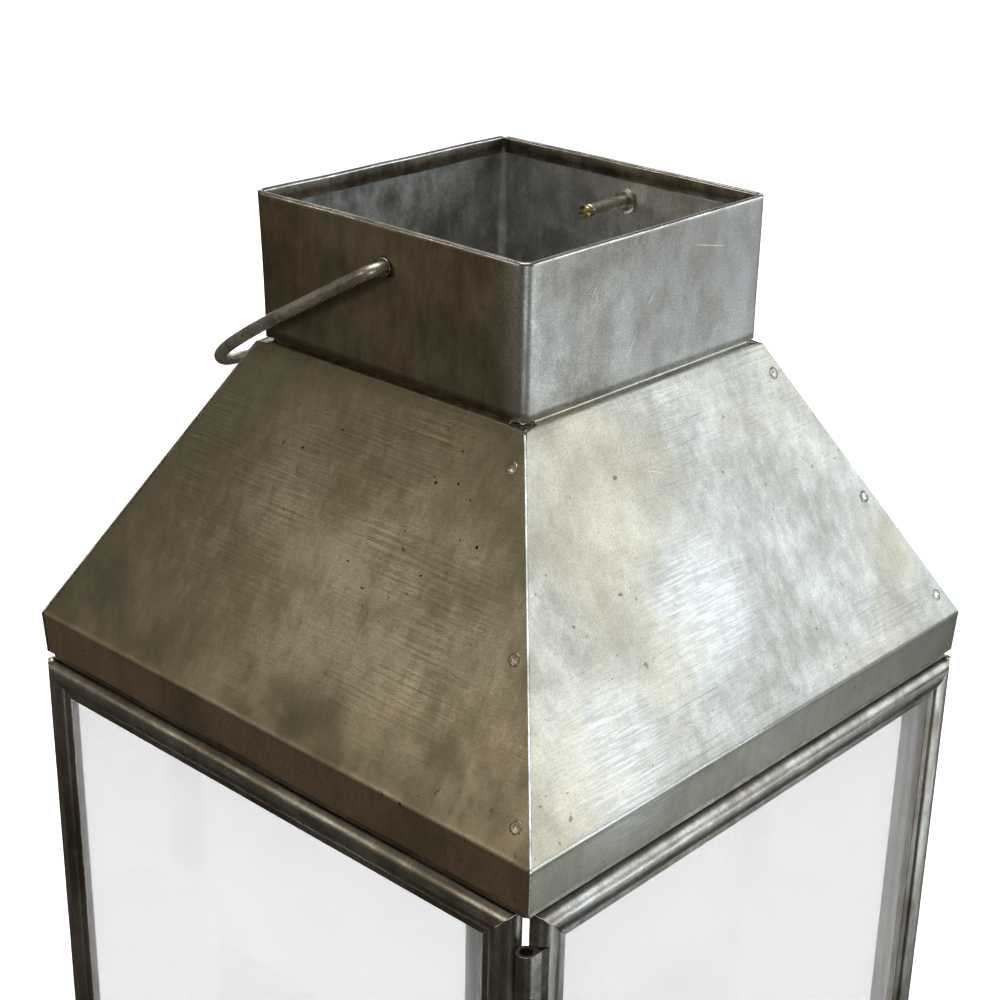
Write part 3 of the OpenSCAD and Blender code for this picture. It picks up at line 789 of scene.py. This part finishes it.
def member_section():
    """(width from the outer edge, depth behind the face) along a folded member's two faces."""
    arc = [math.radians(90 * k / 9) for k in range(10)]
    drop = 0.0048
    outside = [(0, MEMBER_DEPTH)]
    outside += [(CREST * (1 - math.cos(a)), drop * (1 - math.sin(a))) for a in arc]
    outside += [(0.0070, 0.00010), (0.0088, 0.00038), (0.0100, 0.00080), (0.0107, 0.00130),
                (FACE_W, LIP_DEPTH), (0.0125, LIP_DEPTH + 0.00005),
                (FACE_W + LIP_W - 0.0002, LIP_DEPTH + 0.0001),
                (FACE_W + LIP_W, LIP_DEPTH + 0.0004)]
    inside = [(FACE_W + LIP_W - 0.0001, LIP_DEPTH + SHEET - 0.0001),
              (FACE_W - 0.0008, LIP_DEPTH + SHEET - 0.0001),
              (0.0098, 0.0023), (0.0090, 0.0015), (0.0075, 0.0011)]
    inside += [(SHEET + (CREST - SHEET) * (1 - math.cos(a)),
                SHEET + (drop - SHEET) * (1 - math.sin(a))) for a in reversed(arc)]
    inside += [(SHEET, MEMBER_DEPTH)]
    return outside, inside


def past_diagonal(points):
    """The stretch of a line on the member's own side of a corner that two frames share."""
    kept = []
    for a, b in zip(points, points[1:] + [points[-1]]):
        if a[0] > a[1]:
            kept.append(a)
        if (a[0] - a[1]) * (b[0] - b[1]) < 0:
            t = (a[1] - a[0]) / ((a[1] - a[0]) - (b[1] - b[0]))
            kept.append((a[0] + (b[0] - a[0]) * t, a[1] + (b[1] - a[1]) * t))
    return kept


def member(node, body, turn, x0, x1, z0, z1, part, shared_lo, shared_hi, seed):
    """A mitred, rounded frame member on the side of the body that turn brings round from -Y."""
    outside, inside = member_section()
    own_shared = (part == "low" and shared_lo) or (part == "high" and shared_hi)
    if own_shared:
        outside, inside = past_diagonal(outside), past_diagonal(inside)
    section = outside + inside
    stations, seam = 30, 0.00005
    rail = part in ("top", "bottom")
    verts, faces = [], []
    for i in range(stations + 1):
        t = i / stations
        calm = math.sin(math.pi * t)
        for w, depth in section:
            lo_end = max(w, depth) if rail and shared_lo else w
            hi_end = max(w, depth) if rail and shared_hi else w
            a0, a1 = (x0, x1) if rail else (z0, z1)
            along = a0 + lo_end + seam + (a1 - hi_end - a0 - lo_end - 2 * seam) * t
            sink = 0.00022 * calm * abs(wobble((along, w, 0), 34, seed))
            across = {"top": z1 - w, "bottom": z0 + w, "low": x0 + w, "high": x1 - w}[part]
            x, z = (along, across) if rail else (across, along)
            verts.append(turn @ Vector((x, -BODY + depth + sink, z)))
    n = len(section)
    for i in range(stations):
        for k in range(n):
            m = (k + 1) % n
            faces.append((i * n + k, i * n + m, (i + 1) * n + m, (i + 1) * n + k))
    sides = len(faces)
    faces += [tuple(range(n))[::-1], tuple(stations * n + k for k in range(n))]
    piece = new_piece(node + "_shape", verts, faces, [frame_metal, crest_highlight],
                      body, "frame_metal", True, node)
    for k, p in enumerate(piece.data.polygons):
        if k < sides:
            # painted highlight: faces along the member's crest take the lighter crest material
            on_crest = k % n < len(outside) - 1 and 0.0039 < section[k % n][0] < 0.0060
            p.material_index = 1 if on_crest else 0
        else:
            p.use_smooth = False
    soften(piece, 0.00012, 2, 38)


left_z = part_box("left_frame_front_stile")
door_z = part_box("door_hinge_stile")
hinge_edge, latch_edge = -left_z[0].y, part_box("door_latch_stile")[1].x
right_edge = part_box("right_frame_front_stile")[0].y
for body, prefix, angle, x0, x1, (lo, hi), shared, stiles in (
        ("lantern", "left_frame", -90, -BODY, hinge_edge, left_z, (True, False), ("rear", "front")),
        ("lantern", "right_frame", 90, right_edge, BODY, left_z, (False, True), ("front", "rear")),
        ("lantern", "back_frame", 180, -BODY, BODY, left_z, (True, True), ("right", "left")),
        ("door", "door", 0, -hinge_edge, latch_edge, door_z, (False, False), ("hinge", "latch"))):
    around = Matrix.Rotation(math.radians(angle), 3, "Z")
    parts = (("top", "top_rail"), ("bottom", "bottom_rail"),
             ("low", stiles[0] + "_stile"), ("high", stiles[1] + "_stile"))
    for seed, (part, name) in enumerate(parts):
        member(prefix + "_" + name, body, around, x0, x1, lo.z, hi.z, part, *shared,
               seed * 3.3 + angle)
# painted shade: the leaves are painted near black past the knuckles, for the shade in the slit
# between the frames
knuckle_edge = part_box("frame_hinge_knuckles")[1].x
hinge_metal = patina("hinge_metal", (0.22, 0.19, 0.15), (0.50, 0.48, 0.44), (0.26, 0.4),
                     blotch=60, tint=(0.22, 0.15, 0.10), shift=2.2,
                     fades=[(axis, knuckle_edge, knuckle_edge + 0.0008, 0.9, (0.04, 0.033, 0.026))
                            for axis in (0, 1)])
for n in ("frame_hinge_knuckles", "door_hinge_knuckles"):
    dress(n, hinge_metal, width=0.0003, angle=40)
dress("hinge_pins", pin_steel, rubbed_edge, width=0.0003, angle=40)
for n in ("top_ring", "latch_keeper", "latch_tongue", "frame_glass_clips", "door_glass_clips"):
    dress(n, aged_metal, rubbed_edge, width=0.0002, edge_slot=1, angle=40)
dress("plinth", aged_metal, rubbed_edge, width=0.0007, edge_slot=1, angle=30, segments=3)
dress("candle_plate", aged_metal, rubbed_edge, width=0.0003, angle=50)
dress("plate_rivets", solder)
dress("candle_spike", solder)
dress("latch_rosette", tip_brass, width=0.0002, angle=50)
dress("latch_knob", tip_brass, width=0.0002, angle=50)
dress("latch_spindle", pin_steel, width=0.0002, angle=50)
for n in ("left_glass", "right_glass", "back_glass", "door_glass"):
    dress(n, glass)

# ---------- spot welds: a bright core in a heat-tinted ring ----------

weld_halo = patina("weld_halo", (0.36, 0.27, 0.18), (0.56, 0.47, 0.35), (0.3, 0.45), blotch=200,
                   tint=(0.32, 0.20, 0.12), shift=4.1)
weld_profile = [(0, 0.00036), (0.0006, 0.00033), (0.0011, 0.00012), (0.00145, 0.00016),
                (0.0019, 0.00009), (0.0024, 0.00001), (0.0024, -0.0002), (0, -0.0002)]
weld_count = 0
for s in range(4):
    for t in (0.11, 0.55, 0.92):
        half = COLLAR + (EAVE - COLLAR) * t
        z = ROOF_TOP - (ROOF_TOP - EAVE_Z) * t
        turn = Matrix.Rotation(s * math.pi / 2, 3, "Z")
        tilt = Matrix.Rotation(math.atan(ROOF_SLOPE), 3, "X")
        spot = turn @ Vector((half - 0.0055, -half, z))
        verts, faces = lathe(weld_profile, spot, turn @ tilt, 28)
        for i, v in enumerate(verts):
            v += Vector((wobble(v, 900, s), wobble(v, 900, t), 0)) * 0.00016
        weld_count += 1
        weld = new_piece("spot_weld_%02d" % weld_count, verts, faces, [solder, weld_halo],
                         "lantern", "solder")
        for p in weld.data.polygons:
            local = (turn @ tilt).inverted() @ (p.center - spot)
            p.material_index = 0 if math.hypot(local.x, local.y) < 0.0012 else 1
        if weld_count == 1:
            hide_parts("roof_spot_welds")

# ---------- fine scratches that catch the light ----------


def scratches(name, piece, lines, slot):
    """The raised bright lips of hair-fine grooves, laid on the -Y face of a piece."""
    surface = BVHTree.FromPolygons([v.co for v in piece.data.vertices],
                                   [tuple(p.vertices) for p in piece.data.polygons])
    verts, faces = [], []
    for k, (x0, z0, x1, z1) in enumerate(lines):
        path = []
        for i in range(13):
            t = i / 12
            x = x0 + (x1 - x0) * t + 0.0004 * math.sin(2.2 * t + k)
            z = z0 + (z1 - z0) * t
            hit = surface.ray_cast(Vector((x, -0.2, z)), Vector((0, 1, 0)))[0]
            if hit:
                path.append(hit)
        count = len(path)
        if count < 3:
            continue
        widths = [0.00003 + 0.00009 * math.sin(math.pi * i / (count - 1)) for i in range(count)]
        more, more_faces = sweep(path, widths, 6)
        faces += [tuple(i + len(verts) for i in f) for f in more_faces]
        verts += more
    new_piece(name, verts, faces, scratch_light, "lantern", slot)


front_sheet = bpy.data.objects["roof_panel_front_sheet"]
scratches("roof_scratches", front_sheet, (
    (-0.0125, 0.5300, -0.0150, 0.5110), (-0.0260, 0.5330, -0.0295, 0.5215),
    (0.0170, 0.4905, 0.0120, 0.4700), (0.0260, 0.4850, 0.0190, 0.4640),
    (-0.0400, 0.4420, -0.0330, 0.4385), (-0.0720, 0.4600, -0.0675, 0.4530),
    (0.0510, 0.4700, 0.0490, 0.4610), (-0.0180, 0.5180, -0.0090, 0.5150)), "roof_metal")
scratches("collar_scratches", collar, (
    (-0.0120, 0.5560, -0.0080, 0.5640), (-0.0020, 0.5720, 0.0005, 0.5760),
    (0.0220, 0.5890, 0.0420, 0.5850), (-0.0330, 0.5810, -0.0300, 0.5850)), "collar_metal")

# ---------- solder at the frames' and collar's corners ----------


def blob(name, centre, size, seed, material=solder):
    """Small run of solder: a flattened, uneven drop."""
    bm = bmesh.new()
    bmesh.ops.create_icosphere(bm, subdivisions=4, radius=1)
    verts = []
    for v in bm.verts:
        r = 1 + 0.22 * noise.noise(v.co * 1.7 + Vector((seed, seed, seed)))
        r += 0.06 * noise.noise(v.co * 5 + Vector((seed, 0, seed)))
        stretched = Vector((v.co.x * size[0], v.co.y * size[1], v.co.z * size[2]))
        verts.append(Vector(centre) + stretched * r)
    faces = [tuple(v.index for v in f.verts) for f in bm.faces]
    bm.free()
    return new_piece(name, verts, faces, material, "lantern", "solder")


inset = 0.0028
for k, (sx, sy) in enumerate(((-1, 1), (1, 1), (1, -1))):
    blob("frame_solder_%d" % (k + 1),
         (sx * (BODY - inset), sy * (BODY - inset), FRAME_TOP - 0.0010),
         (0.0019, 0.0019, 0.0011), 3.0 * k + 1)
for k, (sx, sy) in enumerate(((-1, -1), (-1, 1), (1, 1), (1, -1))):
    blob("collar_solder_%d" % (k + 1),
         (sx * (COLLAR - 0.0022), sy * (COLLAR - 0.0022), ROOF_TOP + 0.0001),
         (0.0010, 0.0010, 0.0006), 5.0 * k + 2)

# ---------- candle ----------


def candle_mesh():
    """Pillar with a shallow melted dish, a soft rim and slightly uneven sides."""
    r = (candle_hi.x - candle_lo.x) / 2
    base, top = candle_lo.z, candle_hi.z
    height = top - base
    profile = [(0, 0), (r * 0.5, 0), (r - 0.0016, 0), (r - 0.0005, 0.0005), (r - 0.0002, 0.0016)]
    profile += [(r - 0.0002, height * k / 24) for k in range(1, 24)]
    profile += [(r - 0.0003, height - 0.0026), (r - 0.0009, height - 0.0010),
                (r - 0.0021, height - 0.0002), (r - 0.0036, height - 0.0003),
                (r - 0.0056, height - 0.0014), (r - 0.0085, height - 0.0028),
                (r * 0.55, height - 0.0038), (r * 0.3, height - 0.0043),
                (0.004, height - 0.0046), (0.0018, height - 0.0040),
                (0.0011, height - 0.0037), (0, height - 0.0037)]
    verts, faces = lathe(profile, Vector((0, 0, base)), Matrix.Identity(3), 96)
    for v in verts:
        edge = max(0.0, math.hypot(v.x, v.y) / r - 0.6) / 0.4
        high = max(0.0, (v.z - top + 0.012) / 0.012)
        v.z -= 0.0012 * high * edge * abs(wobble((v.x, v.y, 0), 38, 6.6))
        shrink = 1 - 0.004 * abs(wobble((v.x, v.y, v.z), 22, 1.5))
        v.x *= shrink
        v.y *= shrink
    return verts, faces


verts, faces = candle_mesh()
new_piece("candle_pillar", verts, faces, wax, "lantern", "wax", True, "candle")
wick_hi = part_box("candle_wick")[1]
wick_path, wick_r = [], []
for k in range(25):
    t = k / 24
    z = candle_hi.z - 0.006 + (wick_hi.z - 0.0007 - candle_hi.z + 0.006) * t
    wick_path.append(Vector((0.0022 * t * t, 0.0007 * math.sin(3 * t), z)))
    thin = 0.00030 if k == 24 else 0
    wick_r.append(lambda a, k=k, thin=thin: 0.00082 + 0.00012 * math.cos(3 * a + k * 0.9) - thin)
verts, faces = sweep(wick_path, wick_r, 18)
new_piece("candle_wick_strand", verts, faces, wick, "lantern", "wick", True, "candle_wick")

# ---------- floor, lights, surroundings ----------

floor_mesh = bpy.data.meshes.new("floor")
bm = bmesh.new()
bmesh.ops.create_circle(bm, cap_ends=True, radius=14, segments=96)
bm.to_mesh(floor_mesh)
bm.free()
floor = new_object("floor", floor_mesh)
floor.location.z = cad_lo.z - 0.0001
s = Shader("floor")
floor_mesh.materials.append(s.done(s.principled(
    Base_Color=s.mix(s.noise(0.8, 2), (0.90, 0.90, 0.90), (0.93, 0.93, 0.93)), Roughness=0.95,
    Specular_IOR_Level=0.0)))
floor.visible_glossy = False


def soft_light(name, place, target, size, power, colour):
    """Rectangular softbox facing a point."""
    data = bpy.data.lights.new(name, "AREA")
    data.shape = "RECTANGLE"
    data.size, data.size_y = size
    data.energy = power
    data.color = colour
    obj = new_object(name, data)
    obj.location = place
    obj.rotation_mode = "QUATERNION"
    obj.rotation_quaternion = (Vector(target) - Vector(place)).to_track_quat("-Z", "Y")
    obj.visible_camera = False
    obj.visible_transmission = False


soft_light("key", (1.5, -1.5, 0.98), (0, 0, 0.47), (2.2, 1.1), 19.5, (0.80, 0.90, 1.0))
soft_light("low", (0.42, -0.92, 0.03), (-0.05, -0.1, 0.42), (0.8, 0.45), 3.1, (0.82, 0.92, 1.0))
soft_light("left", (-2.0, 1.15, 0.90), (0, 0, 0.46), (0.9, 0.5), 4.3, (1.0, 0.93, 0.80))
soft_light("back", (1.5, 1.7, 0.9), (0, 0, 0.4), (1.6, 1.2), 8, (0.96, 0.98, 1.0))
soft_light("top", (-0.2, 0.2, 2.4), (0, 0, 0.3), (1.6, 1.6), 26, (0.97, 0.99, 1.0))
soft_light("corner", (-1.25, -1.35, 0.22), (0, 0, 0.5), (0.3, 0.8), 3.4, (0.90, 0.96, 1.0))

# an even, very soft light from straight above keeps the floor a plain white
wash_data = bpy.data.lights.new("floor_wash", "SUN")
wash_data.energy = 3.7
wash_data.angle = math.radians(60)
wash = new_object("floor_wash", wash_data)
wash.location = (0, 0, 4)
wash.visible_glossy = False

world = bpy.data.worlds.new("studio")
bpy.context.scene.world = world
world.use_nodes = True
tree = world.node_tree
tree.nodes.clear()
w_out = tree.nodes.new("ShaderNodeOutputWorld")
w_mix = tree.nodes.new("ShaderNodeMixShader")
w_path = tree.nodes.new("ShaderNodeLightPath")
w_seen = tree.nodes.new("ShaderNodeBackground")
w_lit = tree.nodes.new("ShaderNodeBackground")
w_seen.inputs["Color"].default_value = (1, 1, 1, 1)
w_coord = tree.nodes.new("ShaderNodeTexCoord")
w_split = tree.nodes.new("ShaderNodeSeparateXYZ")
w_range = tree.nodes.new("ShaderNodeMapRange")
w_range.interpolation_type = "SMOOTHSTEP"
for key, number in zip(("From Min", "From Max", "To Min", "To Max"), (-0.45, 0.75, 0.062, 0.18)):
    w_range.inputs[key].default_value = number
w_lit.inputs["Color"].default_value = (1.0, 0.90, 0.76, 1)
tree.links.new(w_coord.outputs["Generated"], w_split.inputs[0])
tree.links.new(w_split.outputs["Z"], w_range.inputs["Value"])
tree.links.new(w_range.outputs["Result"], w_lit.inputs["Strength"])
tree.links.new(w_path.outputs["Is Camera Ray"], w_mix.inputs[0])
tree.links.new(w_lit.outputs[0], w_mix.inputs[1])
tree.links.new(w_seen.outputs[0], w_mix.inputs[2])
tree.links.new(w_mix.outputs[0], w_out.inputs[0])
bpy.context.scene.view_settings.view_transform = "Standard"
